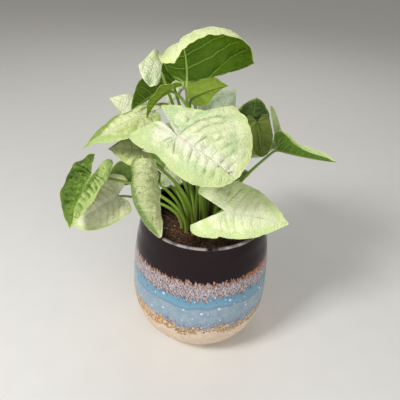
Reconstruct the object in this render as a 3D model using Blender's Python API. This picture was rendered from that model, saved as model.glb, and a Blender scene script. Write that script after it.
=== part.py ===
"""Arrowhead plant in a glazed ceramic pot: the pot, its soil and every leaf, each leaf fused to its stalk.

Sizes are in millimetres and angles in degrees until a mesh is made, which is in metres, +Z up.
The origin is the centre of the pot's foot, and the plant is seen from -Y.
"""
import math

import bmesh
import bpy
import numpy as np

MM = 0.001

# The pot, from the photograph's fit: a 14 cm planter for a 12 cm nursery pot.
POT_HEIGHT = 140.6
POT_FOOT_RADIUS = 30.0
POT_WIDEST_RADIUS = 70.0
POT_WIDEST_HEIGHT = 54.4
POT_RIM_RADIUS = 60.3
POT_WALL = 4.6
POT_FLOOR = 8.0
POT_SIDES = 48
LIP_ROUNDING = 2.0

# The soil stands a little lower at the pot's wall than under the plant.
SOIL_EDGE_HEIGHT = 115.0
SOIL_CROWN_HEIGHT = 120.0
SOIL_CROWN_RADIUS = 30.0
SOIL_GAP = 0.3
HOLE_RADIUS = 2.7
HOLE_DEPTH = 9.5

# Stalks go straight into the soil, then arch over to their blades.
STALK_START_HEIGHT = 120.5
STALK_IN_SOIL = 9.0
STALK_FOOT_RADIUS = 2.1
STALK_TOP_RADIUS = 1.3
BLADE_THICKNESS = 0.9

# A leaf at or above this half width gets the finer mesh: points per half edge, rings, stalk sides and steps.
# A strongly arched leaf gets more rings, to bend smoothly.
BIG_LEAF = 24.0
FINE = (10, 4, 6, 10)
COARSE = (7, 3, 5, 8)
STRONG_ARCH = 100.0
STRONG_ARCH_RINGS = 9

# Half of a flat blade's edge, from the tip round to the inner corner of the lobe. The first number is a share of
# the blade's length ahead of the stalk, or of the lobe's length behind it. The second is a share of the half width.
OUTLINES = {
    "arrow": ((1.0, 0.0), (0.95, 0.05), (0.84, 0.20), (0.66, 0.48), (0.45, 0.76), (0.22, 0.94), (0.0, 1.0),
              (-0.32, 0.97), (-0.62, 0.84), (-0.87, 0.62), (-1.0, 0.38), (-0.97, 0.16)),
    "broad": ((1.0, 0.0), (1.0, 0.16), (0.99, 0.33), (0.93, 0.56), (0.81, 0.76), (0.62, 0.94), (0.46, 1.0),
              (0.32, 1.0), (0.20, 0.84), (0.04, 0.64), (-0.3, 0.55), (-0.6, 0.48), (-0.88, 0.39), (-1.0, 0.33),
              (-0.75, 0.24), (-0.4, 0.13)),
    "ear": ((1.0, 0.0), (0.92, 0.38), (0.78, 0.70), (0.52, 0.97), (0.29, 1.0), (0.07, 0.94), (-0.2, 0.84),
            (-0.5, 0.90), (-0.80, 0.90), (-1.0, 0.80), (-0.94, 0.6), (-0.78, 0.26), (-0.62, -0.02),
            (-0.47, -0.14), (-0.28, -0.08)),
    "spade": ((1.0, 0.0), (0.95, 0.05), (0.84, 0.22), (0.70, 0.50), (0.55, 0.80), (0.38, 1.0), (0.22, 0.97),
              (0.10, 0.82), (0.03, 0.62), (0.0, 0.44), (-0.01, 0.28), (0.0, 0.14)),
    "drip": ((1.0, 0.0), (0.96, 0.04), (0.92, 0.08), (0.88, 0.15), (0.85, 0.27), (0.81, 0.46), (0.74, 0.68),
             (0.62, 0.88), (0.48, 0.99), (0.33, 1.0), (0.20, 0.90), (0.12, 0.72), (0.08, 0.50), (0.04, 0.25),
             (0.0, 0.1)),
    "flap": ((1.0, 0.0), (0.99, 0.25), (0.96, 0.5), (0.88, 0.75), (0.72, 0.95), (0.5, 1.0), (0.3, 0.94),
             (0.15, 0.78), (0.05, 0.55), (0.0, 0.3), (0.0, 0.12)),
    "spear": ((1.0, 0.0), (0.78, 0.17), (0.52, 0.22), (0.30, 0.27), (0.16, 0.40), (0.04, 0.43), (-0.10, 0.48),
              (-0.42, 0.65), (-0.79, 0.95), (-1.0, 1.0), (-0.95, 0.66), (-0.8, 0.39), (-0.4, 0.19)),
    "wedge": ((1.0, 0.0), (0.80, 0.20), (0.55, 0.30), (0.31, 0.50), (0.18, 0.75), (0.08, 0.95), (-0.3, 1.0),
              (-0.9, 0.85), (-1.0, 0.5)),
}

# What a leaf is unless it says otherwise. Pairs are the leaf's own left half, then its right half.
#   lobe    length behind the stalk            splay   turn of the lobes away from each other
#   arch    bend along the midrib              droop   further bend of the lobes, downwards
#   fold    how far a half stands up           curl    bend of a half from the midrib to its edge
#   sweep   bend of the midrib in the blade    belly   above 1, the outline is fuller
#   wave    height, count and start of the edge's waves
#   arrive  the way the stalk runs where it meets the blade, from below if not given
USUAL = {"lobe": (34, 34), "splay": (0, 0), "arch": 30, "droop": 20, "fold": (8, 8), "curl": (-15, -15),
         "sweep": 0, "belly": (1, 1), "shape": ("arrow", "arrow"), "wave": (1.5, 2.0, 0.0), "arrive": None}


def leaf(root, attach, tip, facing, width, **more):
    """One leaf: its root on the soil, the blade's stalk end and tip, the way its upper side looks, and half widths."""
    return {**USUAL, "root": root, "attach": attach, "tip": tip, "facing": facing, "width": width, **more}


LEAVES = {
    "leaf_centre": leaf((2, -12), (-25, -45, 239), (23, -66, 215), (-0.05, -0.75, 0.75), (47, 26), lobe=(32, 42),
                        arch=36, droop=6, fold=(0, -10), curl=(-10, -20), shape=("broad", "ear")),
    "leaf_front_right": leaf((9, -12), (18, -37, 167), (75, -41, 160), (-0.1, -0.75, 0.7), (31, 25), lobe=(30, 34),
                             splay=(10, 22), arch=14, curl=(-25, -20), belly=(1.3, 1.3)),
    "leaf_front_left": leaf((-9, -12), (-49, -57, 224), (-36, -62, 151), (0, -1, 0.3), (16, 16), fold=(-10, -10),
                            curl=(-60, -60), sweep=-35, belly=(2, 2), shape=("spade", "spade"),
                            arrive=(-0.2, -0.75, 0.6)),
    "leaf_far_left": leaf((-16, -9), (-103, -22, 184), (-119, -44, 142), (-0.3, -0.9, 0.5), (15, 26), lobe=(26, 26),
                          splay=(0, 10), arch=50, curl=(-30, -40), belly=(1.2, 1.5)),
    "leaf_low_left": leaf((-21, -1), (-83, -6, 156), (-123, -23, 131), (0.1, -0.6, 0.8), (25, 23), lobe=(6, 20),
                          splay=(0, 20), arch=20, belly=(2.2, 1)),
    "leaf_shade_left": leaf((-20, 8), (-72, 22, 170), (-105, 20, 156), (0.1, -0.5, 0.8), (16, 16), lobe=(12, 12),
                            arch=20),
    "leaf_olive_left": leaf((-14, 5), (-62, 2, 202), (-92, 2, 201), (0.1, -0.6, 0.8), (18, 16), lobe=(12, 12),
                            arch=20),
    "leaf_long_left": leaf((-8, 2), (-61, 2, 235), (-112, -14, 207), (0.1, -0.15, 1), (25, 18), lobe=(16, 30),
                           arch=20, curl=(-20, -20)),
    "leaf_pale_left": leaf((-12, 12), (-70, 34, 230), (-96, 36, 237), (-0.1, -0.6, 0.7), (14, 12), lobe=(20, 20),
                           arch=20),
    "leaf_strip": leaf((-8, -5), (-33, -15, 266), (-53, -19, 240), (-0.4, 0.3, 0.8), (12, 12), lobe=(10, 10),
                       arch=50, fold=(30, 30)),
    "leaf_small_top": leaf((-2, 1), (-43, -2, 277), (-61, -6, 282), (-0.1, -0.7, 0.6), (17, 16), lobe=(3, 3),
                           arch=20, belly=(2, 1), shape=("spade", "spade"), arrive=(-0.3, 0, 1)),
    "leaf_dark_top": leaf((-6, 9), (-34, 15, 261), (-69, 2, 240), (-0.4, 0.7, 0.5), (27, 10), lobe=(6, 6), arch=20,
                          fold=(20, 20), belly=(1.5, 1.2), arrive=(-0.3, 0, 1)),
    "leaf_top": leaf((2, -5), (-22, 4, 267), (-29, -40, 294), (-0.07, 0.3, 1), (68, 21), lobe=(10, 10), arch=165,
                     fold=(44, -15), curl=(-112, -45), shape=("drip", "flap"), arrive=(0, 0.2, 1)),
    "leaf_bright_back": leaf((3, 5), (-20, 28, 243), (15, 32, 257), (0.2, 0.8, 0.5), (14, 30), lobe=(3, 3),
                             belly=(1, 1.2), shape=("spade", "spade"), arrive=(-0.1, 0.3, 1)),
    "leaf_mid_pale": leaf((0, 12), (-31, 30, 255), (-41, 28, 235), (-0.1, -0.7, 0.6), (7, 8), lobe=(3, 3), arch=20),
    "leaf_blue_back": leaf((10, 7), (7, 38, 229), (23, 42, 252), (0, -0.7, 0.6), (22, 16), lobe=(16, 16), arch=20),
    "leaf_dark_right": leaf((9, 0), (36, 12, 230), (39, 14, 254), (0.2, -0.7, 0.7), (20, 18), lobe=(8, 8), arch=40,
                            belly=(1.5, 2)),
    "leaf_olive_right": leaf((10, -6), (41, 0, 236), (48, -6, 206), (0.2, 0.9, 0.3), (12, 14), lobe=(8, 8), arch=20,
                             belly=(2.5, 2.5)),
    "leaf_right": leaf((15, -1), (63, 10, 208), (119, 4, 201), (0.1, 0.35, 0.95), (50, 16), lobe=(3, 3), arch=-10,
                       fold=(52, 70), curl=(0, 0), shape=("spear", "wedge")),
    "leaf_small_inner": leaf((-14, -3), (-33, -8, 176), (-36, -6, 198), (0, -0.8, 0.5), (9, 10), lobe=(6, 6),
                             arch=20),
    "leaf_back_high": leaf((2, 19), (4, 78, 208), (12, 128, 184), (0, 0.5, 0.9), (30, 30), arch=40),
    "leaf_back_left": leaf((-9, 19), (-38, 68, 196), (-62, 116, 172), (-0.3, 0.4, 0.9), (28, 28), lobe=(26, 26),
                           arch=40),
    "leaf_back_right": leaf((12, 12), (44, 50, 196), (78, 94, 174), (0.4, 0.4, 0.9), (26, 26), arch=40),
    "leaf_back_low": leaf((4, 26), (-2, 74, 166), (-2, 124, 144), (0, 0.5, 0.9), (26, 26), arch=40),
    "leaf_side_left": leaf((-18, 15), (-60, 56, 158), (-98, 90, 138), (-0.5, 0.2, 0.9), (24, 24), arch=40),
    "leaf_low_right": leaf((10, 19), (28, 66, 150), (50, 104, 132), (0.3, 0.4, 0.9), (17, 17), lobe=(20, 20)),
}

# Colours from the photograph, each with its roughness.
FINISHES = {
    "glaze": ((0.16, 0.19, 0.22), 0.12),
    "soil": ((0.07, 0.045, 0.03), 0.95),
    "pale": ((0.62, 0.72, 0.42), 0.45),
    "dark": ((0.10, 0.22, 0.05), 0.40),
}
DARK_LEAVES = {"leaf_far_left", "leaf_shade_left", "leaf_dark_right", "leaf_dark_top", "leaf_strip",
               "leaf_olive_right", "leaf_bright_back", "leaf_right"}


def unit(vector):
    return vector / np.linalg.norm(vector)


def smooth_through(keys, count):
    """Points evenly spread along a smooth curve through the keys."""
    keys = np.array(keys, float)
    ends = np.vstack([2 * keys[0] - keys[1], keys, 2 * keys[-1] - keys[-2]])
    found = []
    for spot in np.linspace(0, len(keys) - 1, count):
        k = min(int(spot), len(keys) - 2)
        t = spot - k
        a, b, c, d = ends[k:k + 4]
        found.append(0.5 * (2 * b + (c - a) * t + (2 * a - 5 * b + 4 * c - d) * t ** 2
                            + (3 * b - a - 3 * c + d) * t ** 3))
    return np.array(found)


def blade_length(leaf):
    """The midrib's own length: the arched blade is longer than the straight line from stalk to tip."""
    chord = np.linalg.norm(np.subtract(leaf["tip"], leaf["attach"]))
    half = math.radians(leaf["arch"]) / 2
    return chord * half / math.sin(half)


def half_outline(leaf, half, count):
    """The flat edge of the left half (0) or right half (1): x towards the tip, y towards the leaf's left."""
    width, lobe, belly = leaf["width"][half], leaf["lobe"][half], leaf["belly"][half]
    splay = math.radians(leaf["splay"][half])
    slim = 0.3 * (1 - 1 / belly)
    side = 1 if half == 0 else -1
    points = []
    for along, across in smooth_through(OUTLINES[leaf["shape"][half]], count):
        along = max(-1.0, min(1.0, along))
        x = along * (blade_length(leaf) if along > 0 else lobe)
        y = width * math.copysign(abs(across) ** (1 / belly), across) * (1 - slim * (1 - max(along, 0)) ** 2)
        turn = splay * min(max(-3 * along, 0), 1)
        points.append((x * math.cos(turn) + y * math.sin(turn), side * (y * math.cos(turn) - x * math.sin(turn))))
    return np.array(points)


def midrib(leaf):
    """The bent midrib as a fine line from behind the lobes to past the tip: distances, places and directions."""
    length, lobe = blade_length(leaf), max(leaf["lobe"])
    along = np.linspace(-1.3 * lobe, 1.1 * length, 141)
    share = np.clip(along / length, 0, None)
    pitch = math.radians(leaf["arch"]) * (0.5 - share) + math.radians(leaf["droop"]) * np.clip(-along / lobe, 0, None)
    heading = math.radians(leaf["sweep"]) * (0.5 - share)
    ahead = np.stack([np.cos(pitch) * np.cos(heading), np.cos(pitch) * np.sin(heading), np.sin(pitch)], -1)
    path = np.cumsum(ahead, 0) * (along[1] - along[0])
    return along, path - read(along, path, 0), ahead


def read(along, table, at):
    """Rows of a table read at given distances along the midrib."""
    return np.stack([np.interp(at, along, table[:, k]) for k in range(3)], -1)


def place(leaf, flat, halves):
    """Points of a flat blade, bent into their real place in millimetres. halves says which half each is in."""
    length = blade_length(leaf)
    along, path, heading = midrib(leaf)
    x = flat[:, 0]
    across = np.where(halves == 0, flat[:, 1], -flat[:, 1])
    centre, ahead = read(along, path, x), read(along, heading, x)
    ahead /= np.linalg.norm(ahead, axis=1)[:, None]
    left = np.cross((0, 0, 1.0), ahead)
    left /= np.linalg.norm(left, axis=1)[:, None]
    up = np.cross(ahead, left)
    fold = np.radians(np.array(leaf["fold"], float))[halves]
    width = np.array(leaf["width"], float)[halves]
    rate = np.radians(np.array(leaf["curl"], float))[halves] / width
    rate = np.where(np.abs(rate) < 1e-6, 1e-6, rate)
    out = (np.sin(fold + rate * across) - np.sin(fold)) / rate * np.where(halves == 0, 1, -1)
    rise = (np.cos(fold) - np.cos(fold + rate * across)) / rate
    height, count, start = leaf["wave"]
    rise = rise + height * np.sin(2 * math.pi * (count * x / length + start + 0.37 * halves)) * (across / width) ** 2
    local = centre + left * out[:, None] + up * rise[:, None]
    return from_chord(leaf, local, read(along, path, length))


def from_chord(leaf, local, end):
    """Turn a blade bent about its own axes so that it runs from its stalk to its tip and faces its way."""
    a, b = np.array(leaf["attach"], float), np.array(leaf["tip"], float)
    ahead = unit(b - a)
    up = np.array(leaf["facing"], float)
    up = unit(up - (up @ ahead) * ahead)
    own_ahead = unit(end)
    own_left = unit(np.cross((0, 0, 1.0), own_ahead))
    own = np.stack([own_ahead, own_left, np.cross(own_ahead, own_left)], -1)
    return a + local @ own @ np.stack([ahead, np.cross(up, ahead), up])


def blade_sheet(leaf, count, rings):
    """The blade's upper side as points and triangles: rings round the stalk's end, wound to face up."""
    left, right = half_outline(leaf, 0, count)[::-1], half_outline(leaf, 1, count)
    edge = np.vstack([left, right[1:]])
    n = len(edge)
    flat, halves, faces = [np.zeros(2)], [0], []
    for ring in range(1, rings + 1):
        flat.extend(edge * ring / rings)
        halves.extend([0] * count + [1] * (n - count))
    for i in range(n - 1):
        faces.append((0, i + 2, i + 1))
        for ring in range(rings - 1):
            p, q = 1 + ring * n + i, 1 + (ring + 1) * n + i
            faces += [(p, p + 1, q), (p + 1, q + 1, q)] if i < n // 2 else [(p, p + 1, q + 1), (p, q + 1, q)]
    return place(leaf, np.array(flat), np.array(halves)), faces


def closed_skin(points, faces, depth):
    """A closed skin round a curved sheet: upper side, lower side and the edge between them."""
    corners = np.array(faces)
    cross = np.cross(points[corners[:, 1]] - points[corners[:, 0]], points[corners[:, 2]] - points[corners[:, 0]])
    normals = np.zeros_like(points)
    for k in range(3):
        np.add.at(normals, corners[:, k], cross)
    normals *= depth / 2 / np.linalg.norm(normals, axis=1)[:, None]
    n = len(points)
    skin = list(faces) + [(a + n, c + n, b + n) for a, b, c in faces]
    edges = {pair for a, b, c in faces for pair in ((a, b), (b, c), (c, a))}
    for p, q in sorted(edges):
        if (q, p) not in edges:
            skin += [(q, p, p + n), (q, p + n, q + n)]
    return np.vstack([points + normals, points - normals]), skin


def stalk_line(leaf, steps):
    """The stalk's centre line: up out of the soil, then one curve over to the blade."""
    end = np.array(leaf["attach"], float)
    start = np.array((*leaf["root"], STALK_START_HEIGHT), float)
    if leaf["arrive"] is None:
        near = place(leaf, np.array([(0, 0), (2, 0), (0, 2), (0, -2)], float), np.array([0, 0, 0, 1]))
        ahead, left = unit(near[1] - near[0]), unit(near[2] - near[3])
        arrive = unit(0.5 * ahead + 0.8 * np.cross(ahead, left))
    else:
        arrive = unit(np.array(leaf["arrive"], float))
    reach = np.linalg.norm(end - start)
    lift = np.array((0, 0, 0.45 * reach))
    t = np.linspace(0, 1, steps)[:, None]
    curve = ((1 - t) ** 3 * start + 3 * (1 - t) ** 2 * t * (start + lift)
             + 3 * (1 - t) * t ** 2 * (end - 0.25 * reach * arrive) + t ** 3 * end)
    return np.vstack([start - (0, 0, STALK_IN_SOIL), curve])


def rod(line, radii, sides):
    """A closed round rod along a line, as points and triangles."""
    ahead = np.gradient(line, axis=0)
    ahead /= np.linalg.norm(ahead, axis=1)[:, None]
    side = np.cross(ahead[0], (0.3, 1.0, 0.1))
    points, faces = [], []
    for spot, way, radius in zip(line, ahead, radii):
        side = unit(side - (side @ way) * way)
        up = np.cross(way, side)
        for j in range(sides):
            turn = 2 * math.pi * j / sides
            points.append(spot + radius * (side * math.cos(turn) + up * math.sin(turn)))
    top = (len(line) - 1) * sides
    for j in range(sides):
        a, b = j, (j + 1) % sides
        for k in range(0, top, sides):
            faces += [(k + a, k + b, k + a + sides), (k + b, k + b + sides, k + a + sides)]
        faces += [(len(points), b, a), (len(points) + 1, top + a, top + b)]
    return np.vstack([points, line[0], line[-1]]), faces


def lathe(profile, sides):
    """A closed solid of revolution about Z. The profile starts and ends on the axis, outside first."""
    points, faces, rings = [], [], []
    for radius, height in profile:
        if radius < 1e-6:
            rings.append([len(points)] * sides)
            points.append((0.0, 0.0, height))
            continue
        rings.append([len(points) + j for j in range(sides)])
        for j in range(sides):
            turn = 2 * math.pi * j / sides
            points.append((radius * math.cos(turn), radius * math.sin(turn), height))
    for low, high in zip(rings, rings[1:]):
        for j in range(sides):
            a, b, c, d = low[j], low[(j + 1) % sides], high[(j + 1) % sides], high[j]
            faces += [face for face in ((a, b, c), (a, c, d)) if len(set(face)) == 3]
    return np.array(points), faces


def new_object(name, points, faces):
    mesh = bpy.data.meshes.new(name)
    mesh.from_pydata([tuple(p) for p in np.array(points) * MM], [], [tuple(int(i) for i in f) for f in faces])
    mesh.validate()
    piece = bpy.data.objects.new(name, mesh)
    bpy.context.scene.collection.objects.link(piece)
    return piece


def combine(piece, other, operation):
    """Apply one Boolean to a piece and remove the other object."""
    step = piece.modifiers.new(operation, "BOOLEAN")
    step.operation, step.solver, step.object = operation, "MANIFOLD", other
    graph = bpy.context.evaluated_depsgraph_get()
    result = bpy.data.meshes.new_from_object(piece.evaluated_get(graph))
    piece.modifiers.clear()
    piece.data = result
    bpy.data.objects.remove(other)


def finish_mesh(piece, finish):
    """Triangles only, sides facing out, and the piece's own material."""
    mesh = bmesh.new()
    mesh.from_mesh(piece.data)
    bmesh.ops.remove_doubles(mesh, verts=mesh.verts, dist=0.00002)
    bmesh.ops.triangulate(mesh, faces=mesh.faces)
    bmesh.ops.recalc_face_normals(mesh, faces=mesh.faces)
    mesh.to_mesh(piece.data)
    mesh.free()
    colour, roughness = FINISHES[finish]
    material = bpy.data.materials.new(piece.name)
    material.use_nodes = True
    shader = material.node_tree.nodes["Principled BSDF"]
    shader.inputs["Base Color"].default_value = (*colour, 1)
    shader.inputs["Roughness"].default_value = roughness
    piece.data.materials.clear()
    piece.data.materials.append(material)


def pot_radius(height):
    """The pot's outer radius: a rounded foot up to the widest place, then a gentle taper to the rim."""
    if height < POT_WIDEST_HEIGHT:
        drop = 1 - height / POT_WIDEST_HEIGHT
        return POT_FOOT_RADIUS + (POT_WIDEST_RADIUS - POT_FOOT_RADIUS) * math.sqrt(1 - drop * drop)
    share = (height - POT_WIDEST_HEIGHT) / (POT_HEIGHT - POT_WIDEST_HEIGHT)
    return POT_WIDEST_RADIUS + (POT_RIM_RADIUS - POT_WIDEST_RADIUS) * share ** 2


def pot_profile():
    """Outside from the foot's centre up, over the rounded lip, and down the inside to the floor's centre."""
    foot = [POT_WIDEST_HEIGHT * (1 - math.cos(math.radians(a))) for a in range(15, 91, 15)]
    body = list(np.linspace(POT_WIDEST_HEIGHT, POT_HEIGHT - LIP_ROUNDING, 6))[1:]
    outside = [(0.0, 0.0), (POT_FOOT_RADIUS, 0.0)] + [(pot_radius(z), z) for z in foot + body]
    top_radius = POT_RIM_RADIUS - POT_WALL / 2
    lip = [(top_radius + (POT_WALL / 2) * math.cos(a), POT_HEIGHT - LIP_ROUNDING + LIP_ROUNDING * math.sin(a))
           for a in (math.radians(45), math.radians(90), math.radians(135))]
    inner = [POT_HEIGHT - LIP_ROUNDING, 115.0, 90.0, 65.0, 45.0, 28.0, 16.0]
    inside = [(pot_radius(z) - POT_WALL, z) for z in inner]
    return outside + lip + inside + [(POT_FOOT_RADIUS - 1.0, POT_FLOOR), (0.0, POT_FLOOR)]


def soil_profile():
    """The soil fills the pot with a hair of clearance, up to a low mound under the plant."""
    sides = [(pot_radius(z) - POT_WALL - SOIL_GAP, z) for z in (16.5, 28.0, 45.0, 65.0, 90.0)]
    top = pot_radius(SOIL_EDGE_HEIGHT) - POT_WALL - SOIL_GAP
    mound = [(top, SOIL_EDGE_HEIGHT), ((top + SOIL_CROWN_RADIUS) / 2, (SOIL_EDGE_HEIGHT + SOIL_CROWN_HEIGHT) / 2),
             (SOIL_CROWN_RADIUS, SOIL_CROWN_HEIGHT), (0.0, SOIL_CROWN_HEIGHT)]
    floor = POT_FLOOR + SOIL_GAP
    return [(0.0, floor), (POT_FOOT_RADIUS - 1.5, floor)] + sides + mound


def build_pot():
    finish_mesh(new_object("pot", *lathe(pot_profile(), POT_SIDES)), "glaze")


def build_soil():
    """The soil, with a plain round hole for each stalk."""
    soil = new_object("soil", *lathe(soil_profile(), POT_SIDES))
    points, faces = [], []
    for leaf in LEAVES.values():
        bottom = np.array((*leaf["root"], SOIL_CROWN_HEIGHT - HOLE_DEPTH), float)
        line = np.array([bottom, bottom + (0, 0, HOLE_DEPTH + 5)])
        own, own_faces = rod(line, (HOLE_RADIUS, HOLE_RADIUS), 8)
        faces += [tuple(i + len(points) for i in face) for face in own_faces]
        points.extend(own)
    combine(soil, new_object("holes", points, faces), "DIFFERENCE")
    finish_mesh(soil, "soil")


def build_leaf(name, leaf):
    """A blade with real thickness, fused to its stalk."""
    count, rings, sides, steps = FINE if max(leaf["width"]) >= BIG_LEAF else COARSE
    if leaf["arch"] > STRONG_ARCH:
        count, rings = count + 4, STRONG_ARCH_RINGS
    sheet, faces = blade_sheet(leaf, count, rings)
    blade = new_object(name, *closed_skin(sheet, faces, BLADE_THICKNESS))
    line = stalk_line(leaf, steps)
    radii = np.linspace(STALK_FOOT_RADIUS, STALK_TOP_RADIUS, len(line))
    combine(blade, new_object("stalk", *rod(line, radii, sides)), "UNION")
    finish_mesh(blade, "dark" if name in DARK_LEAVES else "pale")


def main():
    for old in list(bpy.data.objects):
        bpy.data.objects.remove(old)
    build_pot()
    build_soil()
    for name, leaf in LEAVES.items():
        build_leaf(name, leaf)


main()
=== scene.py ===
"""The looks of an arrowhead plant in its glazed pot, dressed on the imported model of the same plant."""

import random
from math import copysign, cos, hypot, pi, radians, sin, sqrt

import bmesh
import bpy
import numpy as np
from mathutils import Matrix, Vector, noise


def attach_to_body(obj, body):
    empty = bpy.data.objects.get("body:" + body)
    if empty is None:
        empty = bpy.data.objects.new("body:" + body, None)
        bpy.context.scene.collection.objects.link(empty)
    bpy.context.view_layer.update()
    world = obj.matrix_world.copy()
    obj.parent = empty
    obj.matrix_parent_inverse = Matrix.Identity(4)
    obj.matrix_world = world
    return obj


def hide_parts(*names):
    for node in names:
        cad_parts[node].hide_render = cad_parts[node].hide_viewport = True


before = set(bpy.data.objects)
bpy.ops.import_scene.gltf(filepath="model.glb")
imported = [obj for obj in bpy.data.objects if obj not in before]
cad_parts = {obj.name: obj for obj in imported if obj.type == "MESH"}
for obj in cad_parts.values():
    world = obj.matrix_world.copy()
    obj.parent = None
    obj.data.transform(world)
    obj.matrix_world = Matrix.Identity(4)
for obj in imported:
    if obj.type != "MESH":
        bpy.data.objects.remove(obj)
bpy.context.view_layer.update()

MM = 0.001

# The camera of the photograph, whose frame is taken as 400 pixels square.
LENS = 40.5
CAMERA_TARGET = (-4.6, 0.0, 153.5)
CAMERA_DISTANCE = 435.0
CAMERA_ELEVATION = 32.1
CAMERA_ROLL = 3.6

# The pot and soil, as in the model.
POT_HEIGHT = 140.6
POT_FOOT_RADIUS = 30.0
POT_WIDEST_RADIUS = 70.0
POT_WIDEST_HEIGHT = 54.4
POT_RIM_RADIUS = 60.3
POT_WALL = 4.6
POT_FLOOR = 8.0
POT_SIDES = 240
LIP_ROUNDING = 2.3
SOIL_EDGE_HEIGHT = 115.0
SOIL_CROWN_HEIGHT = 120.0
SOIL_CROWN_RADIUS = 30.0
SOIL_EDGE_RADIUS = 57.6

# The glaze's borders up the pot's side: the dark rim band, the drips, the blue and the speckled lower border.
DARK_EDGE = 107.0
DRIP_END = 88.0
STRIPE_HEIGHT = 78.5
BLUE_END = 58.5
TAN_START = 52.5
FOOT_EDGE = 43.5
GLAZE_THICKNESS = 0.35
DRIP_THICKNESS = 0.2
# Where the bare clay rises into the glaze at the front, and how much deeper the gold runs on the left.
WAVE_PLACE = 4.0
WAVE_WIDTH = 14.0
WAVE_HEIGHT = 5.0
GOLD_EXTRA = 5.0

# Stalks and blades.
STALK_START_HEIGHT = 120.5
STALK_IN_SOIL = 6.0
STALK_FOOT_RADIUS = 2.1
STALK_TOP_RADIUS = 1.15
STALK_STEPS = 34
STALK_SIDES = 12
MIDRIB_END_RADIUS = 0.25
MIDRIB_REACH = 0.9
BLADE_THICKNESS = 0.5
EDGE_NICKS = 0.03
VEIN_WANDER = 1.6

# Points per half edge and rings of a blade, by the half width at which each starts.
MESHES = ((40.0, 116, 80), (24.0, 77, 51), (0.0, 50, 32))

# Half of a flat blade's edge, from the tip round to the lobe's inner corner, in percent: of the length ahead of
# the stalk or of the lobe's length behind it, and of the half width.
OUTLINES = {
    "arrow": ((100, 0), (95, 5), (84, 20), (66, 48), (45, 76), (22, 94), (0, 100), (-32, 97), (-62, 84),
        (-87, 62), (-100, 38), (-97, 16)),
    "broad": ((100, 0), (100, 16), (99, 33), (93, 56), (81, 76), (62, 94), (46, 100), (32, 100), (20, 84),
        (4, 64), (-30, 55), (-60, 48), (-88, 39), (-100, 33), (-75, 24), (-40, 13)),
    "ear": ((100, 0), (92, 38), (78, 70), (52, 97), (29, 100), (7, 94), (-20, 84), (-50, 90), (-80, 90),
        (-100, 80), (-94, 60), (-78, 26), (-62, -2), (-47, -14), (-28, -8)),
    "spade": ((100, 0), (95, 5), (84, 22), (70, 50), (55, 80), (38, 100), (22, 97), (10, 82), (3, 62),
        (0, 44), (-1, 28), (0, 14)),
    "drip": ((100, 0), (96, 4), (92, 8), (88, 15), (85, 27), (81, 46), (74, 68), (62, 88), (48, 99),
        (33, 100), (20, 90), (12, 72), (8, 50), (4, 25), (0, 10)),
    "flap": ((100, 0), (99, 25), (96, 50), (88, 75), (72, 95), (50, 100), (30, 94), (15, 78), (5, 55),
        (0, 30), (0, 12)),
    "spear": ((100, 0), (78, 17), (52, 22), (30, 27), (16, 40), (4, 43), (-10, 48), (-42, 65), (-79, 95),
        (-100, 100), (-95, 66), (-80, 39), (-40, 19)),
    "wedge": ((100, 0), (80, 20), (55, 30), (31, 50), (18, 75), (8, 95), (-30, 100), (-90, 85), (-100, 50)),
}

# What a leaf is unless it says otherwise, as in the model. Pairs are its own left half, then its right half.
USUAL = {"lobe": (34, 34), "splay": (0, 0), "arch": 30, "droop": 20, "fold": (8, 8), "curl": (-15, -15),
         "sweep": 0, "belly": (1, 1), "shape": ("arrow", "arrow"), "wave": (1.5, 2.0, 0.0), "arrive": None}


def leaf(root, attach, tip, facing, width, **more):
    """One leaf: root on the soil, the blade's stalk end and tip, the way its upper side looks, half widths."""
    return {**USUAL, "root": root, "attach": attach, "tip": tip, "facing": facing, "width": width, **more}


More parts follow.
